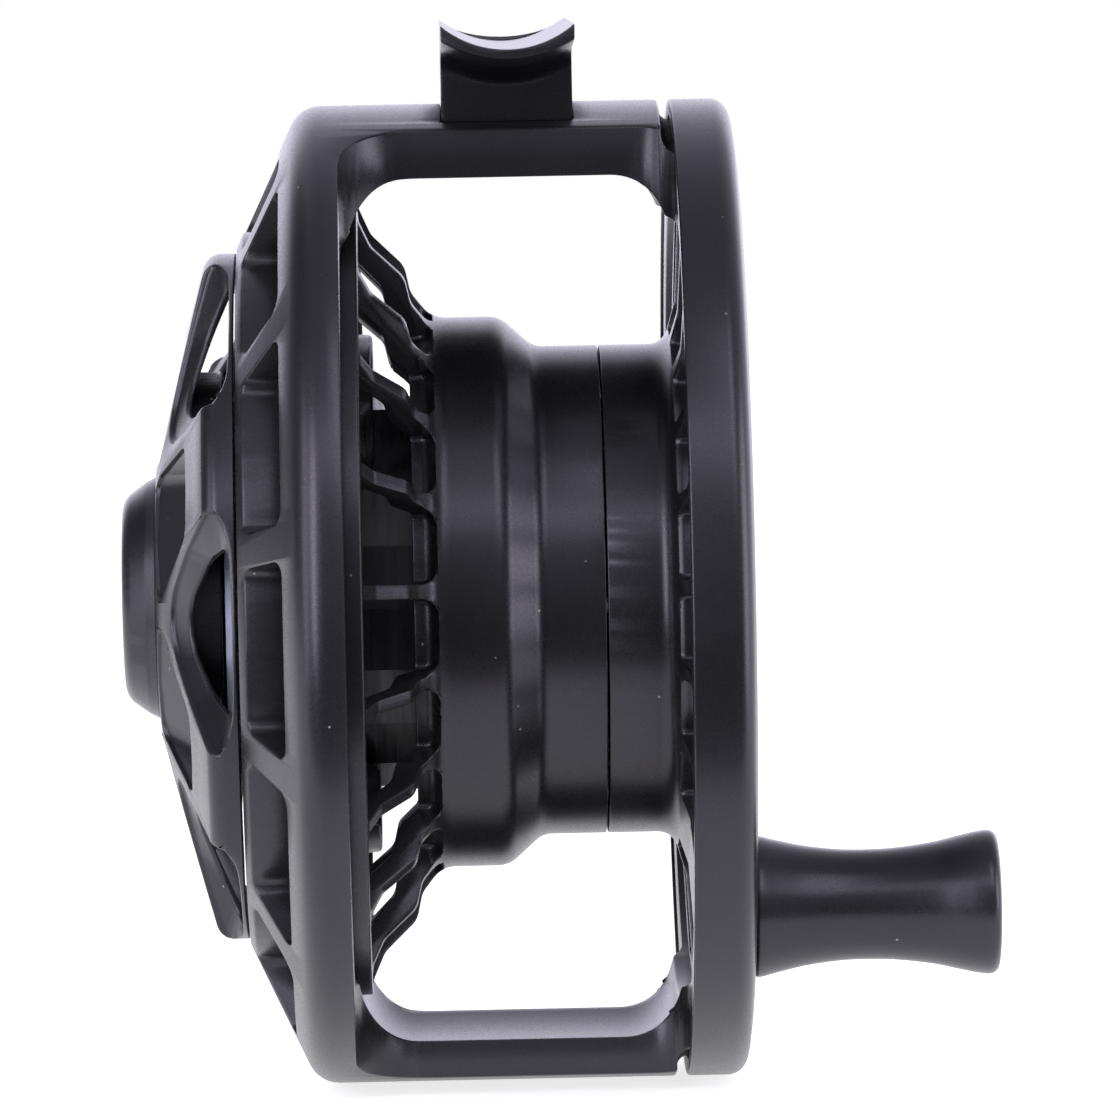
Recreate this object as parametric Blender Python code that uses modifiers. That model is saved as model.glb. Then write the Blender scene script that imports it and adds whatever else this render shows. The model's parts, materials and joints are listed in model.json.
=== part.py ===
"""Large-arbor fly fishing reel as separate sub-parts (metres, +Z up).

The spool turns about a line along X at AXIS_Z. The handle is on the +X side, the drag knob on the
-X side, and the reel foot on top. The origin is the middle of the foot's concave rod seat.
Profiles are (x, r) pairs in millimetres about the spool axis, and angles are measured about that
axis from -Y towards +Z.
"""
import math

import bmesh
import bpy
from mathutils import Matrix, Vector

MM = 0.001
AXIS_Z = -57.0            # height of the spool axis below the rod seat

ROUND = 32                # facets of the big turned parts
MEDIUM_ROUND = 20         # facets of the drive train and the handle
SMALL_ROUND = 12          # facets of screws and pins
HOLE_ROUND = 8            # facets of screw holes
GAP = 0.3                 # space left between pieces that touch

# Frame
FRAME_R = 51.0            # outer radius of the rings and pillars
RING_INNER_R = 42.6       # bore of both rings
PILLAR_INNER_R = 47.2     # waist of the bottom pillar
TOP_PILLAR_INNER_R = 46.2  # waist of the top pillar, which carries the foot
WAIST_FILLET = 6.0
PILLAR_HALF_WIDTH = 12.4
TOP_PILLAR_HALF_WIDTH = 15.2
CAGE_REAR_X = -17.4       # opening between the pillars
CAGE_FRONT_X = 17.2
CAGE_CORNER = 8.0         # towards the back plate
CAGE_FRONT_CORNER = 4.5
PLATE_BACK_X = -28.0
PLATE_INNER_X = -23.2
FRAME_WINDOWS = 12
FRAME_WINDOW_PHASE = -4.0  # degrees

# Foot
FOOT_HALF_LENGTH = 32.0
FOOT_HALF_WIDTH = 6.75
SEAT_R = 10.4             # concave rod seat
PEDESTAL_HALF_LENGTH = 11.5
PEDESTAL_SEAT_Z = 49.3    # flat on the top pillar, above the spool axis
FOOT_SCREW_Y = 6.5

# Spool
SPOOL_WINDOWS = 20
SPOKE_PHASE = 4.6         # degrees, one spoke faces this angle
SEAM_X = 9.1              # between the arbor and the front half
FLANGE_SEAM_X = -7.8      # between the rear flange and the arbor
SPIGOT_R = 26.0           # of the arbor, which the rear flange is screwed onto
ARBOR_R = 28.7
SMALL_ARBOR_R = 25.6
RIM_R = 51.0

# Drag knob
KNOB_R = 35.3
KNOB_APEX_X = -41.1       # where the knob's cone would meet the axis
KNOB_SLOPE = 0.27         # of the cone, along X for each unit of radius
KNOB_PHASE = -2.0         # degrees, one window faces this angle

# Drive train
HOUSING_R = 20.6
SPINDLE_R = 3.0
PIN_CIRCLE_R = 10.2
HEX_R = 9.3
DETENT_ANGLE = 55.0       # degrees

# Handle
HANDLE_CIRCLE_R = 37.0
HANDLE_ANGLE = SPOKE_PHASE + (0.5 - 4.0) * 360.0 / SPOOL_WINDOWS   # on a window centre

FINISHES = {
    "black_anodised": ((0.020, 0.020, 0.024), 0.38, 0.85),
    "inner_anodised": ((0.050, 0.050, 0.055), 0.45, 0.85),
    "stainless": ((0.62, 0.62, 0.64), 0.25, 1.0),
    "bronze": ((0.50, 0.32, 0.16), 0.35, 1.0),
    "carbon": ((0.030, 0.030, 0.032), 0.55, 0.0),
    "seal_rubber": ((0.025, 0.025, 0.025), 0.70, 0.0),
    "acetal": ((0.045, 0.045, 0.048), 0.50, 0.0),
    "tungsten": ((0.28, 0.28, 0.29), 0.40, 1.0),
}


def clear_scene():
    for old in list(bpy.data.objects):
        bpy.data.objects.remove(old, do_unlink=True)


def collection(name):
    made = bpy.data.collections.new(name)
    bpy.context.scene.collection.children.link(made)
    return made


def material(name):
    colour, roughness, metallic = FINISHES[name]
    made = bpy.data.materials.get(name) or bpy.data.materials.new(name)
    made.use_nodes = True
    shader = made.node_tree.nodes["Principled BSDF"]
    shader.inputs["Base Color"].default_value = (*colour, 1.0)
    shader.inputs["Roughness"].default_value = roughness
    shader.inputs["Metallic"].default_value = metallic
    return made


clear_scene()
PARTS = collection("fly_reel")
CUTTERS = collection("cutters")


def place(mesh, name, finish=None, at=(0.0, 0.0)):
    """Put a mesh in the scene with its origin on the spool axis, or `at` (y, z) from it."""
    made = bpy.data.objects.new(name, mesh)
    made.location = (0.0, at[0] * MM, (AXIS_Z + at[1]) * MM)
    if finish:
        PARTS.objects.link(made)
        mesh.materials.append(material(finish))
    else:
        CUTTERS.objects.link(made)
        made.hide_render = True
        made.display_type = "WIRE"
    return made


def on_circle(radius, angle):
    """(y, z) of a point on a circle about the spool axis."""
    turn = math.radians(angle)
    return (-radius * math.cos(turn), radius * math.sin(turn))


PIN_SPOTS = [on_circle(PIN_CIRCLE_R, 30.0 + 120.0 * i) for i in range(3)]
HOUSING_SCREW_SPOTS = [on_circle(16.5, 90.0 + 120.0 * i) for i in range(3)]
SPOOL_SCREW_SPOTS = [on_circle(21.5, 72.0 * i) for i in range(5)]


def turned(name, profile, finish=None, steps=ROUND, at=(0.0, 0.0)):
    """Turn a closed (x, r) profile about X. It runs from the +X end down its outer side."""
    mesh = bpy.data.meshes.new(name)
    points = [(x * MM, 0.0, r * MM) for x, r in profile]
    closed = min(r for x, r in profile) > 0.0
    edges = [(i, i + 1) for i in range(len(points) - 1)]
    if closed:
        edges.append((len(points) - 1, 0))
    mesh.from_pydata(points, edges, [])
    made = place(mesh, name, finish, at)
    screw = made.modifiers.new("turn", "SCREW")
    screw.axis = "X"
    screw.steps = steps
    screw.render_steps = steps
    screw.use_merge_vertices = True
    screw.merge_threshold = 1e-6
    screw.use_smooth_shade = True
    return made


def ring(name, x_low, x_high, inner_r, outer_r, finish=None, steps=ROUND, at=(0.0, 0.0)):
    """A plain tube, washer or disc; an inner radius of 0 makes it solid."""
    if inner_r > 0.0:
        profile = [(x_high, outer_r), (x_low, outer_r), (x_low, inner_r), (x_high, inner_r)]
    else:
        profile = [(x_high, 0.0), (x_high, outer_r), (x_low, outer_r), (x_low, 0.0)]
    return turned(name, profile, finish, steps, at)


def arc(centre_x, centre_r, radius, start, end, steps):
    """Profile points on a circle; angles from +X towards +r."""
    turns = [math.radians(start + (end - start) * i / steps) for i in range(steps + 1)]
    return [(centre_x + radius * math.cos(t), centre_r + radius * math.sin(t)) for t in turns]


def rounded(corners, radii, steps=2):
    """Replace each corner of a flat outline by a short curve of the given size."""
    outline = []
    count = len(corners)
    for i, corner in enumerate(corners):
        here = Vector(corner)
        if radii[i] == 0.0:
            outline.append(tuple(here))
            continue
        before = here + (Vector(corners[i - 1]) - here).normalized() * radii[i]
        after = here + (Vector(corners[(i + 1) % count]) - here).normalized() * radii[i]
        for k in range(steps + 1):
            t = k / steps
            outline.append(tuple(before * (1 - t) ** 2 + here * 2 * t * (1 - t) + after * t ** 2))
    return outline


def sector(inner_r, outer_r, inner_half, outer_half, corner, arc_steps=2):
    """Rounded window outline between two radii, centred on angle 0, as (y, z) pairs."""
    corners = []
    radii = []
    for radius, half, sign in ((outer_r, outer_half, 1), (inner_r, inner_half, -1)):
        for i in range(arc_steps + 1):
            corners.append(on_circle(radius, sign * half * (2 * i / arc_steps - 1)))
            radii.append(corner if i in (0, arc_steps) else 0.0)
    return rounded(corners, radii)


def loft(name, bodies, finish=None):
    """Closed solids, each through a list of rings of points in millimetres."""
    mesh = bpy.data.meshes.new(name)
    shape = bmesh.new()
    for rings in bodies:
        loops = [[shape.verts.new(Vector(point) * MM) for point in points] for points in rings]
        shape.faces.new(loops[0])
        shape.faces.new(loops[-1])
        for low, high in zip(loops, loops[1:]):
            for i in range(len(low)):
                j = (i + 1) % len(low)
                shape.faces.new((low[i], low[j], high[j], high[i]))
    bmesh.ops.recalc_face_normals(shape, faces=shape.faces)
    shape.to_mesh(mesh)
    shape.free()
    return place(mesh, name, finish)


def prism(name, sections, angles=(0.0,)):
    """A cutter through (y, z) outlines [(x, outline), ...], repeated about X.

    A section's x is a number, or a function of the radius for an outline on a cone.
    """
    bodies = []
    for angle in angles:
        spin = Matrix.Rotation(math.radians(-angle), 4, "X")
        rings = []
        for x, outline in sections:
            rings.append([spin @ Vector((x(math.hypot(y, z)) if callable(x) else x, y, z))
                          for y, z in outline])
        bodies.append(rings)
    return loft(name, bodies)


def upright_prism(name, z_low, z_high, outline):
    """A cutter along Z from an (x, y) outline."""
    return loft(name, [[[(x, y, z) for x, y in outline] for z in (z_low, z_high)]])


def boolean(target, tool, operation="DIFFERENCE"):
    step = target.modifiers.new(tool.name, "BOOLEAN")
    step.object = tool
    step.operation = operation
    step.solver = "EXACT"


def rod_cutter(name, rods):
    """Round holes along X as one cutter; each rod is (x_low, x_high, radius, (y, z) spot)."""
    mesh = bpy.data.meshes.new(name)
    shape = bmesh.new()
    for x_low, x_high, radius, (y, z) in rods:
        middle = Vector(((x_low + x_high) / 2, y, z)) * MM
        bmesh.ops.create_cone(
            shape, cap_ends=True, segments=HOLE_ROUND, radius1=radius * MM, radius2=radius * MM,
            depth=(x_high - x_low) * MM,
            matrix=Matrix.Translation(middle) @ Matrix.Rotation(math.pi / 2, 4, "Y"))
    shape.to_mesh(mesh)
    shape.free()
    return place(mesh, name)


def upright(name, z_low, z_high, radius, y, finish=None, steps=SMALL_ROUND, head=None):
    """A round piece along Z at x 0, with an optional (height, radius) head at its lower end."""
    profile = [(z_high, 0.0), (z_high, radius), (z_low, radius), (z_low, 0.0)]
    if head:
        profile = [(z_high, 0.0), (z_high, radius), (z_low + head[0], radius),
                   (z_low + head[0], head[1]), (z_low, head[1]), (z_low, 0.0)]
    made = turned(name, profile, finish, steps, (y, 0.0))
    made.rotation_euler = (0.0, -math.pi / 2, 0.0)
    return made


def screw_piece(name, head_x, head_height, head_r, shank_r, tip_x, spot, finish="stainless"):
    """A fastener along X: its head at head_x and its tip at tip_x, either way round."""
    way = 1.0 if tip_x > head_x else -1.0
    under = head_x + way * head_height
    profile = [(head_x, 0.0), (head_x, head_r), (under, head_r), (under, shank_r),
               (tip_x, shank_r), (tip_x, 0.0)]
    if way > 0:
        profile.reverse()
    return turned(name, profile, finish, SMALL_ROUND, spot)


def waist(inner_r, steps):
    """Inner outline of a pillar between the rings: two fillets and the straight between them."""
    centre_r = inner_r - WAIST_FILLET
    lift = math.degrees(math.asin((RING_INNER_R - centre_r) / WAIST_FILLET))
    rear = arc(-11.2, centre_r, WAIST_FILLET, 180.0 - lift, 90.0, steps)
    return rear + arc(10.4, centre_r, WAIST_FILLET, 90.0, lift, steps)


def build_frame():
    """One-piece cage: conical back plate, rear ring, two pillars and the front ring."""
    profile = [(21.5, 48.9), (16.9, 48.9), (15.7, FRAME_R), (-19.3, FRAME_R),
               (-21.6, 50.1), (-22.7, 48.3), (-28.3, 36.4), (PLATE_BACK_X, 36.0),
               (PLATE_BACK_X, 12.8), (-26.0, 12.8), (-26.0, 5.2), (PLATE_INNER_X, 5.2),
               (PLATE_INNER_X, 22.2), (-14.4, 22.2), (-14.4, 27.0), (-17.2, 27.3), (-20.6, 33.6),
               (PLATE_INNER_X, 34.6), (PLATE_INNER_X, 36.4), (-20.3, RING_INNER_R)]
    profile += waist(TOP_PILLAR_INNER_R, 3)
    profile.append((21.5, RING_INNER_R))
    frame = turned("frame", profile, "black_anodised")

    holes = [(-29.0, -24.0, 1.7, on_circle(20.0, DETENT_ANGLE))]
    holes += [(-27.0, -22.0, 1.6, spot) for spot in PIN_SPOTS]
    holes += [(-29.0, -22.0, 2.4, spot) for spot in HOUSING_SCREW_SPOTS]
    boolean(frame, rod_cutter("plate_holes", holes))

    window = sector(38.2, 46.2, 12.3, 12.6, 2.4)
    turns = [FRAME_WINDOW_PHASE + 360.0 / FRAME_WINDOWS * i for i in range(FRAME_WINDOWS)]
    boolean(frame, prism("frame_windows", [(-32.0, window), (-19.7, window)], turns))

    far = 62.0
    for half_width, z_low, z_high in ((PILLAR_HALF_WIDTH, -far, 4.0),
                                      (TOP_PILLAR_HALF_WIDTH, -4.0, far)):
        for side in (-1, 1):
            near = side * half_width
            corners = [(CAGE_REAR_X, near), (CAGE_FRONT_X, near),
                       (CAGE_FRONT_X, side * far), (CAGE_REAR_X, side * far)]
            outline = rounded(corners, [CAGE_CORNER, CAGE_FRONT_CORNER, 0.0, 0.0], 4)
            boolean(frame, upright_prism("cage_opening", z_low, z_high, outline))

    hollow = waist(PILLAR_INNER_R, 3)
    hollow += [(hollow[-1][0], RING_INNER_R - 1.0), (hollow[0][0], RING_INNER_R - 1.0)]
    swing = []
    for angle in range(-123, -56, 11):
        swing.append([(x, *on_circle(r, angle)) for x, r in hollow])
    boolean(frame, loft("bottom_waist", [swing]))

    pad = [(-7.1, -20.0), (7.1, -20.0), (7.1, 20.0), (-7.1, 20.0)]
    boolean(frame, upright_prism("foot_pad", PEDESTAL_SEAT_Z, 60.0, pad))
    for y in (-FOOT_SCREW_Y, FOOT_SCREW_Y):
        boolean(frame, upright("screw_way", 40.0, 55.0, 1.9, y, None, HOLE_ROUND, (8.4, 3.4)))


def foot_section(y, steps=8):
    """Outline of the foot across X at one place along it, as (x, z) pairs above the seat."""
    reach = abs(y)
    taper = max(0.0, y - 22.0) / (FOOT_HALF_LENGTH - 22.0)
    half = FOOT_HALF_WIDTH - 2.3 * taper ** 2
    edge_thickness = 0.9 - 0.45 * max(0.0, y) / FOOT_HALF_LENGTH
    ramp = 1.5 * (FOOT_HALF_LENGTH - reach) / (FOOT_HALF_LENGTH - PEDESTAL_HALF_LENGTH)
    cove = max(0.0, 1.0 - (reach - PEDESTAL_HALF_LENGTH) / 3.0)
    top = []
    bottom = []
    for i in range(steps + 1):
        x = half * (2 * i / steps - 1)
        top.append((x, SEAT_R - math.sqrt(SEAT_R ** 2 - x ** 2)))
        under = 13.0 - math.sqrt(13.0 ** 2 - x ** 2) - edge_thickness - ramp
        under -= 2.2 * (1.0 - math.sqrt(max(0.0, 1.0 - cove ** 2)))
        if reach < PEDESTAL_HALF_LENGTH:
            under = PEDESTAL_SEAT_Z + AXIS_Z + GAP
        bottom.append((x, under))
    return top + bottom[::-1]


def build_foot():
    """Reel foot: a concave blade on a pedestal, screwed to the top pillar from inside."""
    ends = [FOOT_HALF_LENGTH, 27.0, 22.0, 18.0, 15.0, 14.0, 13.0, 12.2, 11.52, 11.48]
    stations = [-y for y in ends] + ends[::-1]
    rings = [[(x, y, z - AXIS_Z) for x, z in foot_section(y)] for y in stations]
    foot = loft("reel_foot", [rings], "black_anodised")
    for y in (-FOOT_SCREW_Y, FOOT_SCREW_Y):
        boolean(foot, upright("foot_thread", 46.0, 54.4, 1.9, y, None, HOLE_ROUND))
    upright("foot_screw_near", 46.9, 54.0, 1.6, -FOOT_SCREW_Y, "stainless", head=(1.2, 2.9))
    upright("foot_screw_far", 46.9, 54.0, 1.6, FOOT_SCREW_Y, "stainless", head=(1.2, 2.9))


def knob_face(radius):
    """X of the drag knob's outer cone."""
    return KNOB_APEX_X + KNOB_SLOPE * radius


def window_edge(radius):
    """X where the sloped wall of a knob window starts: just under the cone, deeper at the rim."""
    return knob_face(radius) + 0.5 + 0.3 * max(0.0, radius - 34.0)


def window_floor(radius):
    """X where the sloped wall of a knob window ends."""
    return -33.8 + 0.45 * (radius - 23.6)


def build_knob():
    """Drag knob with its cap, fixing screw, adjusting nut and click plate."""
    profile = [(-28.6, KNOB_R), (-30.2, KNOB_R), (-31.3, 34.8), (knob_face(34.0), 34.0),
               (knob_face(16.0), 16.0), (-37.1, 14.6), (-37.1, 7.5), (-30.1, 7.5),
               (-30.1, 23.5), (-33.2, 23.6), (-29.0, 33.2), (-28.6, 33.6)]
    knob = turned("drag_knob", profile, "black_anodised")
    turns = [KNOB_PHASE + 60.0 * i for i in range(6)]
    wide = rounded([on_circle(38.0, -20.8), on_circle(38.9, -10.0), on_circle(38.9, 10.0),
                    on_circle(38.0, 20.8), on_circle(27.4, 17.4), on_circle(18.4, 0.0),
                    on_circle(27.4, -17.4)], [3.0, 0.0, 0.0, 3.0, 4.0, 4.5, 4.0], 3)
    narrow = rounded([on_circle(32.3, -15.4), on_circle(32.9, -8.0), on_circle(32.9, 8.0),
                      on_circle(32.3, 15.4), on_circle(28.6, 15.8), on_circle(22.8, 0.0),
                      on_circle(28.6, -15.8)], [1.5, 0.0, 0.0, 1.5, 1.5, 4.0, 1.5], 3)
    boolean(knob, prism("knob_windows", [(-42.0, wide), (window_edge, wide), (window_floor, narrow),
                                         (-27.0, narrow)], turns))
    wide = rounded([on_circle(27.4, 10.0), on_circle(27.4, -10.0), on_circle(15.6, -26.0),
                    on_circle(13.8, 0.0), on_circle(15.6, 26.0)], [2.0, 2.0, 1.8, 0.0, 1.8])
    narrow = rounded([on_circle(26.2, 8.0), on_circle(26.2, -8.0), on_circle(21.4, -10.0),
                      on_circle(20.9, 0.0), on_circle(21.4, 10.0)], [1.0, 1.0, 1.0, 0.0, 1.0])
    turns = [KNOB_PHASE + 30.0 + 60.0 * i for i in range(6)]
    boolean(knob, prism("knob_pockets", [(-42.0, wide), (-33.0, narrow), (-31.0, narrow)], turns))
    cap = [(-37.4, 0.0), (-37.4, 12.0), (-37.9, 12.0), (-39.6, 10.9), (-40.5, 9.8),
           (-40.8, 8.9), (-40.8, 0.0)]
    turned("knob_cap", cap, "black_anodised")
    ring("adjusting_nut", -37.0, -29.3, 3.3, 7.2, "bronze", SMALL_ROUND)
    ring("click_plate", -29.8, -29.1, 13.2, 23.0, "stainless")
    detent = on_circle(20.0, DETENT_ANGLE)
    ring("detent_plunger", -28.8, -26.2, 0.0, 1.3, "acetal", 16, detent)
    ring("detent_spring", -25.9, -24.3, 0.7, 1.3, "stainless", 16, detent)


def build_drag():
    """Sealed disc drag: housing and cover, fixed spindle, pressure train, discs and plates."""
    profile = [(-1.0, HOUSING_R), (-22.9, HOUSING_R), (-22.9, 4.6), (-19.0, 4.6), (-19.0, 18.2),
               (-4.1, 18.2), (-4.1, 19.0), (-1.0, 19.0)]
    housing = turned("drag_housing", profile, "inner_anodised", MEDIUM_ROUND)
    holes = [(-24.0, -18.0, 1.6, spot) for spot in PIN_SPOTS]
    holes += [(-24.0, -20.0, 1.4, spot) for spot in HOUSING_SCREW_SPOTS]
    boolean(housing, rod_cutter("housing_holes", holes))
    for i, spot in enumerate(HOUSING_SCREW_SPOTS):
        screw_piece(f"housing_screw_{i + 1}", -27.7, 1.5, 2.0, 1.0, -20.4, spot)
    for i, spot in enumerate(PIN_SPOTS):
        ring(f"push_pin_{i + 1}", -26.9, -17.5, 0.0, 1.2, "stainless", 16, spot)

    spindle = [(20.1, 0.0), (20.1, 2.6), (19.8, SPINDLE_R), (19.4, SPINDLE_R), (19.2, 2.5),
               (18.4, 2.5), (18.2, SPINDLE_R), (-16.9, SPINDLE_R), (-16.9, 8.0), (-18.7, 8.0),
               (-18.7, 4.2), (-26.9, 4.2), (-26.9, 2.9), (-36.4, 2.9), (-36.4, 0.0)]
    turned("spindle", spindle, "stainless", SMALL_ROUND)
    ring("thrust_plate", -28.7, -27.2, 4.6, 12.2, "bronze", MEDIUM_ROUND)
    ring("pressure_ring", -17.2, -16.2, 9.4, 17.6, "stainless", MEDIUM_ROUND)
    for i in range(2):
        back = -15.9 + 1.6 * i
        cone = [(back + 1.3, 12.6), (back + 0.6, 17.4), (back, 17.4), (back + 0.7, 12.3)]
        turned(f"spring_washer_{i + 1}", cone, "stainless", MEDIUM_ROUND)
    for i in range(3):
        back = -11.9 + 2.7 * i
        ring(f"drag_plate_{i + 1}", back, back + 0.9, 11.5, 17.9, "stainless", MEDIUM_ROUND)
        ring(f"friction_disc_{i + 1}", back + 1.2, back + 2.4, 11.1, 17.2, "carbon", MEDIUM_ROUND)
    cover = [(-0.9, 18.7), (-3.8, 18.7), (-3.8, 13.9), (-1.9, 13.9), (-1.9, 11.3), (-0.9, 11.3)]
    turned("housing_cover", cover, "inner_anodised", MEDIUM_ROUND)
    ring("shaft_seal", -3.6, -2.2, 11.0, 13.6, "seal_rubber", MEDIUM_ROUND)

    ring("rotor_sleeve", -14.2, 0.6, 9.2, 10.8, "stainless", MEDIUM_ROUND)
    ring("roller_clutch", -10.8, -2.4, 7.4, 8.9, "stainless", MEDIUM_ROUND)
    drive = ring("drive_hub", -13.8, 16.0, 0.0, 7.1, "stainless", MEDIUM_ROUND)
    hexagon = [on_circle(HEX_R, 60.0 * i) for i in range(6)]
    boolean(drive, prism("drive_hex", [(4.0, hexagon), (10.2, hexagon)]), "UNION")
    bore = [(17.0, 0.0), (17.0, 5.95), (13.2, 5.95), (13.2, 3.4), (-11.0, 3.4), (-11.0, 5.95),
            (-15.0, 5.95), (-15.0, 0.0)]
    boolean(drive, turned("hub_bore", bore, None, MEDIUM_ROUND))
    ring("bearing_rear", -13.7, -11.3, 3.12, 5.65, "stainless", MEDIUM_ROUND)
    ring("bearing_front", 13.5, 15.9, 3.12, 5.65, "stainless", MEDIUM_ROUND)


def spoke_turns():
    """Angles of the spool's windows, midway between its spokes."""
    pitch = 360.0 / SPOOL_WINDOWS
    return [SPOKE_PHASE + pitch * (i + 0.5) for i in range(SPOOL_WINDOWS)]


def build_spool():
    """Ported spool in three pieces, its fasteners, counterweight and handle post."""
    handle = on_circle(HANDLE_CIRCLE_R, HANDLE_ANGLE)
    balance = on_circle(HANDLE_CIRCLE_R, HANDLE_ANGLE + 180.0)
    rear = [(FLANGE_SEAM_X, ARBOR_R), (-9.1, 29.1), (-10.1, 30.7), (-10.7, 33.5), (-11.5, 34.9),
            (-14.3, 37.6), (-15.6, 40.6), (-16.4, 41.9), (-17.8, 41.9), (-18.0, 38.6),
            (-16.3, 35.8), (-13.6, 33.0), (-12.8, 30.6), (-10.6, 28.0), (-10.3, SPIGOT_R + GAP),
            (FLANGE_SEAM_X, SPIGOT_R + GAP)]
    spool_rear = turned("spool_rear", rear, "black_anodised")
    window = sector(27.6, 40.9, 7.4, 7.9, 1.9, 1)
    boolean(spool_rear, prism("rear_windows", [(-22.0, window), (-8.1, window)], spoke_turns()))

    arbor = [(SEAM_X - GAP / 2, SMALL_ARBOR_R), (2.6, SMALL_ARBOR_R), (0.5, 27.2),
             (-1.65, ARBOR_R), (FLANGE_SEAM_X + GAP, ARBOR_R), (FLANGE_SEAM_X + GAP, SPIGOT_R),
             (-10.2, SPIGOT_R), (-10.2, SPIGOT_R - 1.4), (-2.6, SPIGOT_R - 1.4), (1.2, 23.4),
             (6.4, 23.2), (6.4, 19.5), (SEAM_X - GAP / 2, 19.5)]
    spool_arbor = turned("spool_arbor", arbor, "black_anodised")
    holes = [(5.0, 10.0, 1.1, spot) for spot in SPOOL_SCREW_SPOTS]
    boolean(spool_arbor, rod_cutter("arbor_threads", holes))

    front = [(23.4, 47.2), (22.5, 50.0), (20.2, RIM_R), (16.9, RIM_R), (16.9, 49.4),
             (21.9, 49.4), (21.9, 42.1), (17.9, 42.1), (17.3, 30.0), (16.0, 27.2),
             (14.2, SMALL_ARBOR_R), (SEAM_X + GAP / 2, SMALL_ARBOR_R), (SEAM_X + GAP / 2, 19.5),
             (12.0, 19.5), (12.0, 23.5), (15.0, 23.5), (15.0, 13.0), (3.5, 13.0), (3.5, 8.6),
             (22.6, 8.6), (22.6, 11.0), (18.6, 14.5), (18.6, 23.0), (20.4, 27.0),
             (20.6, 41.0), (23.4, 44.0)]
    spool_front = turned("spool_front", front, "black_anodised")
    for name, spot in (("handle_boss", handle), ("balance_boss", balance)):
        boss = ring(name, 18.1, 23.1, 0.0, 5.3, None, SMALL_ROUND, spot)
        boolean(spool_front, boss, "UNION")
    seats = [(19.2, 26.0, 3.1, handle), (19.2, 26.0, 4.6, balance)]
    boolean(spool_front, rod_cutter("boss_seats", seats))
    window = sector(28.0, 40.2, 7.0, 7.7, 1.9, 1)
    keep = [turn for i, turn in enumerate(spoke_turns()) if i % 10 != 6]
    boolean(spool_front, prism("front_windows", [(15.9, window), (25.0, window)], keep))
    web = sector(14.9, 22.3, 11.0, 13.6, 2.2, 1)
    boolean(spool_front, prism("web_windows", [(14.0, web), (20.0, web)],
                               [36.0 * i + 18.0 for i in range(10)]))
    holes = [(8.0, 13.0, 1.5, spot) for spot in SPOOL_SCREW_SPOTS]
    boolean(spool_front, rod_cutter("front_screw_ways", holes))
    hexagon = [on_circle(HEX_R + 0.35, 60.0 * i) for i in range(6)]
    boolean(spool_front, prism("hex_socket", [(2.0, hexagon), (10.6, hexagon)]))
    for i, spot in enumerate(SPOOL_SCREW_SPOTS):
        screw_piece(f"spool_screw_{i + 1}", 13.7, 1.4, 1.9, 0.8, 6.7, spot)
    ring("counterweight", 19.5, 22.6, 0.0, 4.1, "tungsten", SMALL_ROUND, balance)

    post = [(44.8, 0.0), (44.8, 2.0), (24.1, 2.0), (24.1, 5.0), (23.4, 5.0), (23.4, 2.6),
            (19.5, 2.6), (19.5, 0.0)]
    turned("handle_post", post, "stainless", SMALL_ROUND, handle)
    return handle


def build_release():
    """Quick-release button, its spring and latch ring in the middle of the spool."""
    button = [(24.4, 0.0), (24.4, 6.6), (23.8, 7.6), (22.2, 8.2), (20.2, 8.2), (20.2, 7.0),
              (22.0, 7.0), (22.0, 0.0)]
    turned("release_button", button, "black_anodised", MEDIUM_ROUND)
    ring("release_spring", 17.3, 18.5, 7.3, 8.1, "stainless", MEDIUM_ROUND)
    ring("latch_ring", 17.0, 18.1, 3.3, 6.9, "stainless", MEDIUM_ROUND)


def build_handle(spot):
    """Waisted grip that spins on the post, with two bushings and a retaining screw."""
    profile = [(48.8, 6.4), (47.9, 7.4), (46.5, 7.25), (44.7, 6.86), (42.0, 6.25),
               (38.5, 5.79), (35.5, 5.65), (32.4, 5.73), (29.0, 6.15), (26.2, 6.76),
               (23.8, 7.2), (23.8, 5.4), (24.4, 5.4), (24.4, 3.7), (45.4, 3.7), (45.4, 4.6),
               (48.8, 4.6)]
    turned("handle_grip", profile, "black_anodised", MEDIUM_ROUND, spot)
    ring("handle_bushing_rear", 24.7, 28.6, 2.2, 3.4, "acetal", SMALL_ROUND, spot)
    ring("handle_bushing_front", 40.7, 44.7, 2.2, 3.4, "acetal", SMALL_ROUND, spot)
    screw_piece("handle_screw", 48.2, 2.4, 4.2, 1.4, 45.1, spot, "black_anodised")


build_frame()
build_foot()
build_knob()
build_drag()
handle_spot = build_spool()
build_release()
build_handle(handle_spot)
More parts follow.
